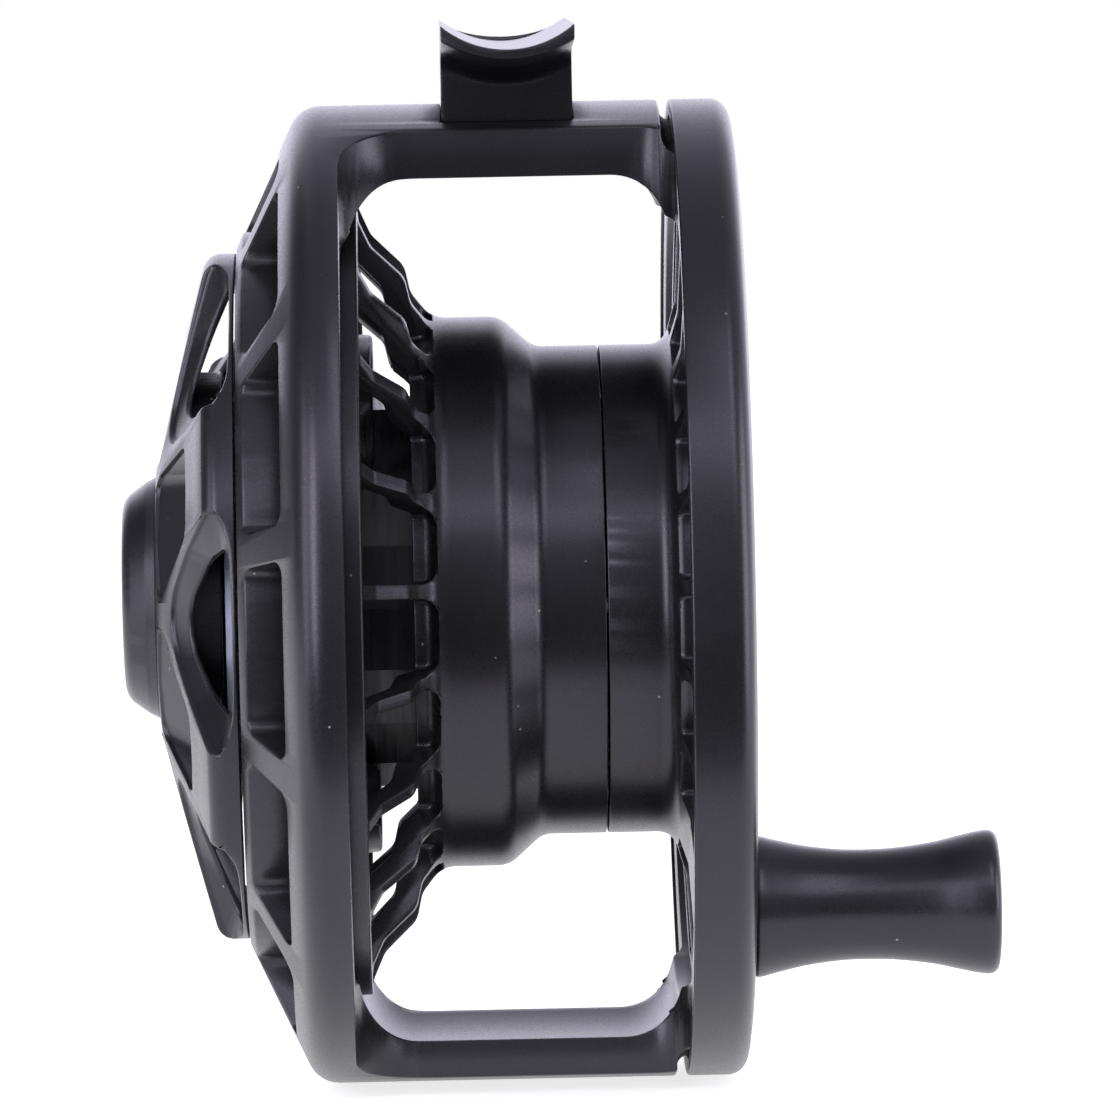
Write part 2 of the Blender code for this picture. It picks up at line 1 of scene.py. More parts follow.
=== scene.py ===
"""Large-arbor fly reel: fine surfaces, materials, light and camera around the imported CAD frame.

Lengths are millimetres, except in the studio, which is in metres. Profiles are (x, r) or
(x, r, corner radius) about the spool axis, which runs along X. Angles are degrees about that axis,
from -Y towards +Z. The handle is on the +X side.
"""
import json
import math
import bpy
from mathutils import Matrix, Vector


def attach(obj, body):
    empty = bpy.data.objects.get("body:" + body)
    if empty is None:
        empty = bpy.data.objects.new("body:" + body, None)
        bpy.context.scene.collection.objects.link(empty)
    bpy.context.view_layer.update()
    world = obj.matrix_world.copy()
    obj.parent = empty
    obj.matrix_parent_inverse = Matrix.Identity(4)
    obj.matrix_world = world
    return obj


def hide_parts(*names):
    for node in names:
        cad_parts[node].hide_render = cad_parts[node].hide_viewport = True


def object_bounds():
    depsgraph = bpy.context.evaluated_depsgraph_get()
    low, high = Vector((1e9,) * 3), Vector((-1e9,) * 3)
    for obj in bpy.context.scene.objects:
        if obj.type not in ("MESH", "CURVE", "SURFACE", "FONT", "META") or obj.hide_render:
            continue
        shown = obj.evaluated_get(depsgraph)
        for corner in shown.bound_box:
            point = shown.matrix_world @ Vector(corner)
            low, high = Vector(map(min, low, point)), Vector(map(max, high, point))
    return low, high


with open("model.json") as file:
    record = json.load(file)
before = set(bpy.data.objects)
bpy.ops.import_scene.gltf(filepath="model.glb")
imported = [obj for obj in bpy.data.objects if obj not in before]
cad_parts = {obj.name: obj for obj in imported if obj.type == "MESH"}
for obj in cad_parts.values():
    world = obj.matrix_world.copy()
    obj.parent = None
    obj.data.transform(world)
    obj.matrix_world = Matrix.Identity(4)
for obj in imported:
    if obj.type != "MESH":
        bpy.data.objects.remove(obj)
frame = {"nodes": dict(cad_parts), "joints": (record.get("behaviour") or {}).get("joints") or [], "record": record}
cad_box = [list(corner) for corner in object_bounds()]

import bmesh
import bpy
from mathutils import Matrix, Vector

MM = 0.001


def joint_spot(name):
    """A joint's place."""
    found = [joint for joint in frame["joints"] if joint["name"] == name][0]
    return [value / MM for value in found["pos_m"]]


AXIS_Z = joint_spot("drag_rotor_spin")[2]
HANDLE_SPOT = (joint_spot("handle_spin")[1], joint_spot("handle_spin")[2] - AXIS_Z)

TURN_STEPS = 240          # segments of the large turned pieces
SMALL_STEPS = 96          # segments of the button and the grip
EDGE = 0.22               # rounding of machined edges

FRAME_R = 51.0
RING_INNER_R = 42.6
PILLAR_INNER_R = 47.2     # bottom pillar
TOP_PILLAR_INNER_R = 46.2
WAIST_FILLET = 6.0        # where a pillar's inner side meets the rings
PILLAR_HALF_WIDTH = 12.3
TOP_PILLAR_HALF_WIDTH = 15.2
CAGE_REAR_X = -17.4       # the opening between the pillars
CAGE_FRONT_X = 17.2
CAGE_CORNER = 8.0
CAGE_FRONT_CORNER = 4.0
FRAME_WINDOWS = 12
FRAME_WINDOW_PHASE = -4.0

FOOT_HALF_LENGTH = 32.0
FOOT_HALF_WIDTH = 6.75
FOOT_TAPER_Y = 22.0       # the blade narrows from here to its far tip
FOOT_UNDER_R = 13.0
SEAT_R = 10.4
PEDESTAL_SEAT_Z = 49.3    # above the spool axis
PEDESTAL_HALF_LENGTH = 11.5
COVE = 4.2                # under the blade, beside the pedestal
TIP_LIP_Y = 30.9          # raised lip of the blade's far tip

KNOB_R = 35.8
KNOB_APEX_X = -41.1       # of the outer cone
KNOB_SLOPE = 0.27
KNOB_END_X = -28.4
KNOB_WINDOWS = 6
KNOB_PHASE = -2.0
WINDOW_LIP = 0.5          # straight wall of a knob window under the cone
CAP_R = 12.6
CAP_TOP_X = -40.8

SPOOL_WINDOWS = 20
SPOKE_PHASE = 4.6
SEAM_X = 9.1              # between the halves of the spool
SEAM = 0.09               # half of the seam's width
ARBOR_R = 28.7
SMALL_ARBOR_R = 25.5
HUB_R = 19.5
RIM_R = 51.0
SPOOL_EDGE = 0.18         # rounding of the spool's edges

GRIP_END_X = 48.8
GRIP_BORE_R = 3.7


# ---------------------------------------------------------------------------------------------
# Mesh tools
# ---------------------------------------------------------------------------------------------

def on_circle(radius, angle):
    """(y, z) of a point on a circle about the spool axis."""
    turn = math.radians(angle)
    return (-radius * math.cos(turn), radius * math.sin(turn))


def fillet(corners, steps=6, closed=True):
    """Round an outline's corners: each corner is (a, b) or (a, b, radius) and gets a tangent arc."""
    outline = []
    count = len(corners)
    for i, corner in enumerate(corners):
        here = Vector(corner[:2])
        radius = corner[2] if len(corner) > 2 else 0.0
        if radius == 0.0 or (not closed and i in (0, count - 1)):
            outline.append(tuple(here))
            continue
        before = Vector(corners[i - 1][:2]) - here
        after = Vector(corners[(i + 1) % count][:2]) - here
        half = before.angle(after) / 2.0
        reach = radius / math.tan(half)
        reach = min(reach, before.length * 0.49, after.length * 0.49)
        start = here + before.normalized() * reach
        end = here + after.normalized() * reach
        centre = here + (before.normalized() + after.normalized()).normalized() * (reach / math.cos(half))
        a, b = start - centre, end - centre
        sweep = a.angle_signed(b)
        for k in range(steps + 1):
            spin = Matrix.Rotation(-sweep * k / steps, 2)
            outline.append(tuple(centre + spin @ a))
    return outline


def link(mesh, name, at=(0.0, 0.0)):
    """Object for a mesh about the spool axis, or about a parallel axis at (y, z)."""
    made = bpy.data.objects.new(name, mesh)
    made.location = (0.0, at[0] * MM, (AXIS_Z + at[1]) * MM)
    bpy.context.scene.collection.objects.link(made)
    return made


def turned(name, profile, steps=TURN_STEPS, at=(0.0, 0.0)):
    """Turn an (x, r) profile about X; points with r 0 close it at the axis."""
    shape = bmesh.new()
    rings = []
    for x, r in profile:
        if r <= 1e-6:
            rings.append([shape.verts.new((x * MM, 0.0, 0.0))])
            continue
        ring = []
        for i in range(steps):
            y, z = on_circle(r, 360.0 * i / steps)
            ring.append(shape.verts.new((x * MM, y * MM, z * MM)))
        rings.append(ring)
    solid = len(rings[0]) == 1 and len(rings[-1]) == 1
    pairs = list(zip(rings, rings[1:])) + ([] if solid else [(rings[-1], rings[0])])
    for low, high in pairs:
        for i in range(steps):
            j = (i + 1) % steps
            corners = [low[i % len(low)], low[j % len(low)], high[j % len(high)], high[i % len(high)]]
            unique = list(dict.fromkeys(corners))
            if len(unique) > 2:
                shape.faces.new(unique)
    bmesh.ops.recalc_face_normals(shape, faces=shape.faces)
    mesh = bpy.data.meshes.new(name)
    shape.to_mesh(mesh)
    shape.free()
    return link(mesh, name, at)


def sector(inner_r, outer_r, inner_half, outer_half, corner, shrink=0.0, arc_steps=6):
    """Rounded window outline between two radii, centred on angle 0, as (y, z) pairs."""
    corners = []
    for radius, half, sign in ((outer_r - shrink, outer_half, 1), (inner_r + shrink, inner_half, -1)):
        half -= math.degrees(shrink / radius)
        for i in range(arc_steps + 1):
            y, z = on_circle(radius, sign * half * (2 * i / arc_steps - 1))
            corners.append((y, z, corner if i in (0, arc_steps) else 0.0))
    return fillet(corners)


def skin(name, bodies):
    """Closed solids, each through a list of rings of points in millimetres."""
    shape = bmesh.new()
    for rings in bodies:
        loops = [[shape.verts.new(Vector(point) * MM) for point in points] for points in rings]
        shape.faces.new(loops[0])
        shape.faces.new(loops[-1])
        for low, high in zip(loops, loops[1:]):
            for i in range(len(low)):
                j = (i + 1) % len(low)
                shape.faces.new((low[i], low[j], high[j], high[i]))
    bmesh.ops.recalc_face_normals(shape, faces=shape.faces)
    mesh = bpy.data.meshes.new(name)
    shape.to_mesh(mesh)
    shape.free()
    return link(mesh, name)


def loft(name, sections, angles=(0.0,)):
    """A solid through (y, z) outlines [(x, outline), ...], repeated about X.

    A section's x is a number, or a function of the radius for an outline on a cone.
    """
    bodies = []
    for angle in angles:
        spin = Matrix.Rotation(math.radians(-angle), 4, "X")
        rings = []
        for x, outline in sections:
            rings.append([spin @ Vector((x(math.hypot(y, z)) if callable(x) else x, y, z))
                          for y, z in outline])
        bodies.append(rings)
    return skin(name, bodies)


def upright_loft(name, z_low, z_high, outline):
    """A solid along Z from an (x, y) outline."""
    return skin(name, [[[(x, y, z) for x, y in outline] for z in (z_low, z_high)]])


def rod(name, x_low, x_high, radius, spot, steps=40):
    """A cylinder along X at (y, z)."""
    return turned(name, [(x_low, 0.0), (x_low, radius), (x_high, radius), (x_high, 0.0)], steps, spot)


def bake(piece):
    """Replace a piece's mesh by its evaluated one, and drop its modifiers."""
    evaluated = piece.evaluated_get(bpy.context.evaluated_depsgraph_get())
    piece.data = bpy.data.meshes.new_from_object(evaluated)
    piece.modifiers.clear()


def combine(piece, tools, operation="DIFFERENCE"):
    """Boolean each tool into the piece and remove the tools."""
    for tool in tools:
        step = piece.modifiers.new(tool.name, "BOOLEAN")
        step.object = tool
        step.operation = operation
        step.solver = "EXACT"
    bake(piece)
    for tool in tools:
        bpy.data.objects.remove(tool)


def clean(piece, distance=0.03):
    """Merge the slivers that cutting leaves."""
    shape = bmesh.new()
    shape.from_mesh(piece.data)
    bmesh.ops.remove_doubles(shape, verts=shape.verts, dist=distance * MM)
    bmesh.ops.dissolve_degenerate(shape, edges=shape.edges, dist=distance * MM)
    shape.to_mesh(piece.data)
    shape.free()


def soften(piece, width, angle=32.0):
    """Round the sharp edges."""
    step = piece.modifiers.new("edges", "BEVEL")
    step.width = width * MM
    step.segments = 2
    step.limit_method = "ANGLE"
    step.angle_limit = math.radians(angle)
    step.use_clamp_overlap = False
    step.miter_outer = "MITER_ARC"
    bake(piece)


def dress(piece, material):
    """Smooth shading with sharp edges kept, and one material."""
    piece.data.shade_smooth()
    piece.data.set_sharp_from_angle(angle=math.radians(35.0))
    piece.data.materials.clear()
    piece.data.materials.append(material)


def finish_piece(piece, body, material, nodes):
    """Give a piece its look, its body and the CAD nodes it stands for."""
    dress(piece, material)
    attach(piece, body)
    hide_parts(*nodes)


def machine(piece, tools, edge=EDGE):
    """Cut a piece with its tools, clean it and round its edges."""
    combine(piece, tools)
    clean(piece)
    soften(piece, edge)


# ---------------------------------------------------------------------------------------------
# Materials
# ---------------------------------------------------------------------------------------------

class Nodes:
    """Short way to build a material's node tree."""

    def __init__(self, name):
        self.material = bpy.data.materials.new(name)
        self.material.use_nodes = True
        self.tree = self.material.node_tree
        self.shader = self.tree.nodes["Principled BSDF"]
        self.place = self.add("ShaderNodeTexCoord").outputs["Object"]

    def add(self, kind, **values):
        node = self.tree.nodes.new(kind)
        for key, value in values.items():
            setattr(node, key, value)
        return node

    def wire(self, source, target):
        self.tree.links.new(source, target)

    def noise(self, scale, detail=2.0, roughness=0.5, stretch=(1.0, 1.0, 1.0)):
        mapping = self.add("ShaderNodeMapping")
        mapping.inputs["Scale"].default_value = stretch
        self.wire(self.place, mapping.inputs["Vector"])
        node = self.add("ShaderNodeTexNoise")
        node.inputs["Scale"].default_value = scale
        node.inputs["Detail"].default_value = detail
        node.inputs["Roughness"].default_value = roughness
        self.wire(mapping.outputs["Vector"], node.inputs["Vector"])
        return node.outputs["Fac"]

    def spread(self, source, low, high, start=0.3, end=0.7):
        """Map a value's start..end range to low..high."""
        node = self.add("ShaderNodeMapRange")
        node.inputs["From Min"].default_value = start
        node.inputs["From Max"].default_value = end
        node.inputs["To Min"].default_value = low
        node.inputs["To Max"].default_value = high
        self.wire(source, node.inputs["Value"])
        return node.outputs["Result"]

    def math(self, a, b, operation):
        node = self.add("ShaderNodeMath", operation=operation)
        self.wire(a, node.inputs[0])
        self.wire(b, node.inputs[1])
        return node.outputs["Value"]

    def blend(self, factor, first, second):
        node = self.add("ShaderNodeMix", data_type="RGBA")
        self.wire(factor, node.inputs["Factor"])
        for socket, value in ((node.inputs[6], first), (node.inputs[7], second)):
            if isinstance(value, tuple):
                socket.default_value = (*value, 1.0)
            else:
                self.wire(value, socket)
        return node.outputs[2]

    def bump(self, height, strength, distance):
        node = self.add("ShaderNodeBump")
        node.inputs["Strength"].default_value = strength
        node.inputs["Distance"].default_value = distance * MM
        self.wire(height, node.inputs["Height"])
        self.wire(node.outputs["Normal"], self.shader.inputs["Normal"])


def anodised(name, colour, roughness, marks=0.0):
    """Bead-blasted black anodise: fine grain, faint tone drift, bright specks, optional tool marks, and a painted
    highlight along convex edges.
    """
    made = Nodes(name)
    grain = made.noise(5200.0, 2.0, 0.6)
    drift = made.noise(60.0, 3.0, 0.5)
    tone = made.blend(made.spread(drift, 0.0, 1.0), tuple(c * 0.85 for c in colour),
                      tuple(c * 1.2 for c in colour))
    # Painted highlight: convex edges (by Pointiness) get a much lighter base colour, standing in for the bright
    # lines that light makes on rounded edges.
    edges = made.spread(made.add("ShaderNodeNewGeometry").outputs["Pointiness"], 0.0, 0.55, 0.505, 0.56)
    tone = made.blend(edges, tone, tuple(c * 3.0 + 0.01 for c in colour))
    dust = made.add("ShaderNodeTexVoronoi", feature="F1")
    dust.inputs["Scale"].default_value = 420.0
    made.wire(made.place, dust.inputs["Vector"])
    near = made.spread(dust.outputs["Distance"], 1.0, 0.0, 0.02, 0.07)
    split = made.add("ShaderNodeSeparateColor")
    made.wire(dust.outputs["Color"], split.inputs["Color"])
    rare = made.spread(split.outputs["Red"], 0.0, 1.0, 0.86, 0.88)
    tone = made.blend(made.math(near, rare, "MULTIPLY"), tone, (0.32, 0.31, 0.32))
    made.wire(tone, made.shader.inputs["Base Color"])
    made.wire(made.spread(grain, roughness - 0.05, roughness + 0.06), made.shader.inputs["Roughness"])
    height = grain
    if marks > 0.0:
        lines = made.noise(1900.0, 1.0, 0.5, (1.0, 0.02, 0.02))
        scaled = made.spread(lines, 0.0, marks, 0.0, 1.0)
        height = made.math(grain, scaled, "ADD")
    made.bump(height, 0.30, 0.012)
    made.shader.inputs["Metallic"].default_value = 0.0
    made.shader.inputs["IOR"].default_value = 1.55
    made.shader.inputs["Specular Tint"].default_value = (0.90, 0.86, 1.0, 1.0)   # violet cast of the dye
    return made.material


def turned_metal(name, colour, roughness, metallic=1.0):
    """Lathe-turned metal with rings about X."""
    made = Nodes(name)
    lines = made.noise(1400.0, 2.0, 0.6, (1.0, 0.04, 0.04))
    drift = made.noise(160.0, 3.0, 0.5)
    tone = made.blend(made.spread(drift, 0.0, 1.0), tuple(c * 0.85 for c in colour),
                      tuple(min(1.0, c * 1.1) for c in colour))
    made.wire(tone, made.shader.inputs["Base Color"])
    made.wire(made.spread(lines, roughness - 0.07, roughness + 0.09), made.shader.inputs["Roughness"])
    made.bump(lines, 0.25, 0.01)
    made.shader.inputs["Metallic"].default_value = metallic
    return made.material


def woven(name, colour):
    """Twill weave of the carbon friction discs."""
    made = Nodes(name)
    check = made.add("ShaderNodeTexChecker")
    check.inputs["Scale"].default_value = 900.0
    made.wire(made.place, check.inputs["Vector"])
    fibres = made.noise(3000.0, 2.0, 0.5, (1.0, 1.0, 0.1))
    tone = made.blend(check.outputs["Fac"], colour, tuple(c * 2.2 for c in colour))
    made.wire(tone, made.shader.inputs["Base Color"])
    made.wire(made.spread(fibres, 0.4, 0.6), made.shader.inputs["Roughness"])
    made.bump(fibres, 0.3, 0.02)
    return made.material


def moulded(name, colour, roughness):
    """Machined plastic or moulded rubber."""
    made = Nodes(name)
    grain = made.noise(2600.0, 3.0, 0.6)
    drift = made.noise(200.0)
    tone = made.blend(made.spread(drift, 0.0, 1.0), tuple(c * 0.8 for c in colour),
                      tuple(c * 1.25 for c in colour))
    made.wire(tone, made.shader.inputs["Base Color"])
    made.wire(made.spread(grain, roughness - 0.06, roughness + 0.06), made.shader.inputs["Roughness"])
    made.bump(grain, 0.2, 0.02)
    return made.material


BLACK_DYE = (0.0060, 0.0057, 0.0072)
BLACK = anodised("black_anodised_fine", BLACK_DYE, 0.30)
BLACK_MARKED = anodised("black_anodised_marked", BLACK_DYE, 0.30, 1.2)
FINISHES = {
    "black_anodised": BLACK,
    "inner_anodised": turned_metal("housing_anodised", (0.008, 0.008, 0.010), 0.24, 0.3),
    "stainless": turned_metal("stainless_turned", (0.60, 0.61, 0.65), 0.26),
    "bronze": turned_metal("bronze_turned", (0.48, 0.30, 0.15), 0.34),
    "carbon": woven("carbon_weave", (0.020, 0.020, 0.022)),
    "seal_rubber": moulded("seal_rubber_matt", (0.020, 0.020, 0.020), 0.70),
    "acetal": moulded("acetal_machined", (0.035, 0.035, 0.038), 0.45),
    "tungsten": turned_metal("tungsten_grey", (0.26, 0.26, 0.27), 0.42),
}
PLATE_PAINTED_REFLECTION = moulded("plate_painted_reflection", (0.62, 0.68, 0.86), 0.35)   # painted reflection: a pale diffuse colour in place of the light the click plate's metal reflects, seen in the knob's window


# ---------------------------------------------------------------------------------------------
# Pieces
# ---------------------------------------------------------------------------------------------

def waist(inner_r, steps=12):
    """Inner outline of a pillar between the rings: two fillets and the straight between them."""
    centre_r = inner_r - WAIST_FILLET
    lift = math.degrees(math.asin((RING_INNER_R - centre_r) / WAIST_FILLET))
    outline = []
    for centre_x, start, end in ((-11.2, 180.0 - lift, 90.0), (10.4, 90.0, lift)):
        for k in range(steps + 1):
            t = math.radians(start + (end - start) * k / steps)
            outline.append((centre_x + WAIST_FILLET * math.cos(t), centre_r + WAIST_FILLET * math.sin(t)))
    return outline


def cage():
    """One-piece frame: conical ported back, rear ring, two pillars and the front ring."""
    front_x = 21.5
    relief = []
    for k in range(9):
        t = math.radians(90.0 * k / 8)
        relief.append((17.05 - 1.35 * math.sin(t), 50.35 - 1.45 * math.cos(t)))
    outside = [(15.7, FRAME_R, 0.3), (-21.48, FRAME_R, 3.4), (-28.3, 36.4, 0.6), (-28.0, 36.0, 0.3)]
    back = [(-28.0, 12.8, 0.2), (-26.0, 12.8), (-26.0, 5.2), (-23.2, 5.2), (-23.2, 22.2)]
    collar = [(-14.4, 22.2, 0.4), (-14.4, 27.0, 0.5), (-17.2, 27.2, 0.5), (-20.6, 33.6, 1.0)]
    inside = [(-23.2, 34.6, 0.5), (-23.2, 36.4, 1.0), (-20.3, RING_INNER_R, 0.5)]
    profile = fillet([(front_x, 48.9, 0.2)] + relief + outside + back + collar + inside
                     + waist(TOP_PILLAR_INNER_R) + [(front_x, RING_INNER_R, 0.3)])
    made = turned("cage", profile)

    window = sector(38.0, 46.3, 12.4, 12.7, 2.6)
    turns = [FRAME_WINDOW_PHASE + 360.0 / FRAME_WINDOWS * i for i in range(FRAME_WINDOWS)]
    tools = [loft("cage_windows", [(-32.0, window), (-19.7, window)], turns)]
    far = 62.0
    for half_width, z_low, z_high in ((PILLAR_HALF_WIDTH, -far, 4.0), (TOP_PILLAR_HALF_WIDTH, -4.0, far)):
        for side in (-1, 1):
            near = side * half_width
            outline = fillet([(CAGE_REAR_X, near, CAGE_CORNER), (CAGE_FRONT_X, near, CAGE_FRONT_CORNER),
                              (CAGE_FRONT_X, side * far), (CAGE_REAR_X, side * far)], 16)
            tools.append(upright_loft("cage_opening", z_low, z_high, outline))
    hollow = waist(PILLAR_INNER_R)
    hollow += [(hollow[-1][0], RING_INNER_R - 1.0), (hollow[0][0], RING_INNER_R - 1.0)]
    swing = [[(x, *on_circle(r, angle)) for x, r in hollow] for angle in range(-120, -59, 2)]
    tools.append(skin("bottom_waist", [swing]))
    side = FOOT_HALF_WIDTH + 0.04
    pad = [(-side, -20.0), (side, -20.0), (side, 20.0), (-side, 20.0)]
    tools.append(upright_loft("foot_pad", PEDESTAL_SEAT_Z, 60.0, pad))
    for i in range(3):
        tools.append(rod("screw_way", -29.0, -22.0, 2.4, on_circle(16.5, 90.0 + 120.0 * i)))
    machine(made, tools)
    finish_piece(made, "frame", BLACK_MARKED, ["frame"])


def foot_section(y, steps=28):
    """Outline of the foot across X at one place along it, as (x, z) pairs above the seat."""
    reach = abs(y)
    taper = max(0.0, y - FOOT_TAPER_Y) / (FOOT_HALF_LENGTH - FOOT_TAPER_Y)
    half = FOOT_HALF_WIDTH - 2.3 * taper ** 2
    edge_thickness = 0.9 - 0.45 * max(0.0, y) / FOOT_HALF_LENGTH
    ramp = 1.5 * (FOOT_HALF_LENGTH - reach) / (FOOT_HALF_LENGTH - PEDESTAL_HALF_LENGTH)
    cove = max(0.0, 1.0 - (reach - PEDESTAL_HALF_LENGTH) / COVE)
    top = []
    bottom = []
    for i in range(steps + 1):
        share = 2 * i / steps - 1
        x = half * share
        lip = 0.42 * (1.0 - share ** 2) if y > TIP_LIP_Y else 0.0
        top.append((x, lip + SEAT_R - math.sqrt(SEAT_R ** 2 - x ** 2)))
        under = FOOT_UNDER_R - math.sqrt(FOOT_UNDER_R ** 2 - x ** 2) - edge_thickness - ramp
        under -= 1.9 * (1.0 - math.sqrt(max(0.0, 1.0 - cove ** 2)))
        if reach < PEDESTAL_HALF_LENGTH:
            under = PEDESTAL_SEAT_Z + AXIS_Z + 0.02
        bottom.append((x, under))
    return top + bottom[::-1]


def foot():
    """Reel foot: a concave blade on a pedestal."""
    cove = [PEDESTAL_HALF_LENGTH + COVE * (1.0 - math.cos(math.radians(6.0 * k))) for k in range(1, 16)]
    step = [PEDESTAL_HALF_LENGTH + 0.02, PEDESTAL_HALF_LENGTH - 0.02]
    ends = sorted([FOOT_HALF_LENGTH, 29.5, 28.0, 26.0, 24.0, FOOT_TAPER_Y, 20.0, 18.0] + step + cove)
    stations = [-y for y in ends[::-1]] + ends[:-1] + [TIP_LIP_Y, TIP_LIP_Y + 0.05, FOOT_HALF_LENGTH]
    made = skin("foot", [[[(x, y, z - AXIS_Z) for x, z in foot_section(y)] for y in stations]])
    soften(made, 0.12, 40.0)
    finish_piece(made, "frame", BLACK_MARKED, ["reel_foot"])


def knob_face(radius):
    """X of the drag knob's outer cone."""
    return KNOB_APEX_X + KNOB_SLOPE * radius


def window_edge(radius):
    """X where the sloped wall of a knob window starts: just under the cone, deeper at the rim."""
    return knob_face(radius) + WINDOW_LIP + 0.3 * max(0.0, radius - 34.0)


def window_floor(radius):
    """X where the sloped wall of a knob window ends."""
    return -33.8 + 0.43 * (radius - 23.6)


def knob():
    """Ported drag knob and its cap."""
    profile = fillet([(KNOB_END_X, KNOB_R, 0.2), (knob_face(KNOB_R), KNOB_R, 2.4),
                      (knob_face(15.5), 15.5, 1.5), (-37.3, CAP_R, 0.2), (-37.1, 7.5), (-30.1, 7.5),
                      (-30.1, 23.5, 0.3), (-33.2, 23.6), (-28.9, 33.2, 0.3),
                      (KNOB_END_X, 33.8, 0.2)], 10)
    made = turned("knob", profile)
    wide = fillet([(*on_circle(38.0, -21.4), 2.6), (*on_circle(38.9, -10.0), 12.0),
                   (*on_circle(39.1, 0.0), 12.0), (*on_circle(38.9, 10.0), 12.0),
                   (*on_circle(38.0, 21.4), 2.6), (*on_circle(28.0, 16.2), 20.0),
                   (*on_circle(18.4, 0.0), 7.0), (*on_circle(28.0, -16.2), 20.0)], 10)
    narrow = fillet([(*on_circle(34.5, -15.0), 1.8), (*on_circle(34.9, -8.0), 10.0),
                     (*on_circle(35.0, 0.0), 10.0), (*on_circle(34.9, 8.0), 10.0),
                     (*on_circle(34.5, 15.0), 1.8), (*on_circle(29.4, 13.8), 6.0),
                     (*on_circle(22.4, 0.0), 6.0), (*on_circle(29.4, -13.8), 6.0)], 10)
    pitch = 360.0 / KNOB_WINDOWS
    turns = [KNOB_PHASE + pitch * i for i in range(KNOB_WINDOWS)]
    tools = [loft("knob_windows", [(-42.0, wide), (window_edge, wide), (window_floor, narrow),
                                   (-26.5, narrow)], turns)]
    wide = fillet([(*on_circle(27.6, 10.4), 2.0), (*on_circle(28.0, 0.0), 10.0),
                   (*on_circle(27.6, -10.4), 2.0), (*on_circle(15.6, -28.0), 1.8),
                   (*on_circle(13.8, 0.0), 10.0), (*on_circle(15.6, 28.0), 1.8)], 8)
    narrow = fillet([(*on_circle(26.6, 8.6), 1.2), (*on_circle(26.8, 0.0), 8.0),
                     (*on_circle(26.6, -8.6), 1.2), (*on_circle(21.4, -11.0), 1.2),
                     (*on_circle(20.8, 0.0), 8.0), (*on_circle(21.4, 11.0), 1.2)], 8)
    turns = [turn + pitch / 2.0 for turn in turns]
    tools.append(loft("knob_pockets", [(-42.0, wide), (lambda r: knob_face(r) + WINDOW_LIP, wide),
                                       (-33.0, narrow), (-30.6, narrow)], turns))
    machine(made, tools)
    finish_piece(made, "drag_knob", BLACK, ["drag_knob"])

    profile = fillet([(-37.32, 0.0), (-37.32, CAP_R), (-38.3, 12.1, 1.5), (CAP_TOP_X, 10.3, 2.4),
                      (CAP_TOP_X, 0.0)], 10, False)
    cap = turned("knob_end", profile)
    finish_piece(cap, "drag_knob", BLACK, ["knob_cap"])


def spoke_turns():
    """Middles of the windows between the spokes, the same in both flanges."""
    pitch = 360.0 / SPOOL_WINDOWS
    return [SPOKE_PHASE + pitch * (i + 0.5) for i in range(SPOOL_WINDOWS)]


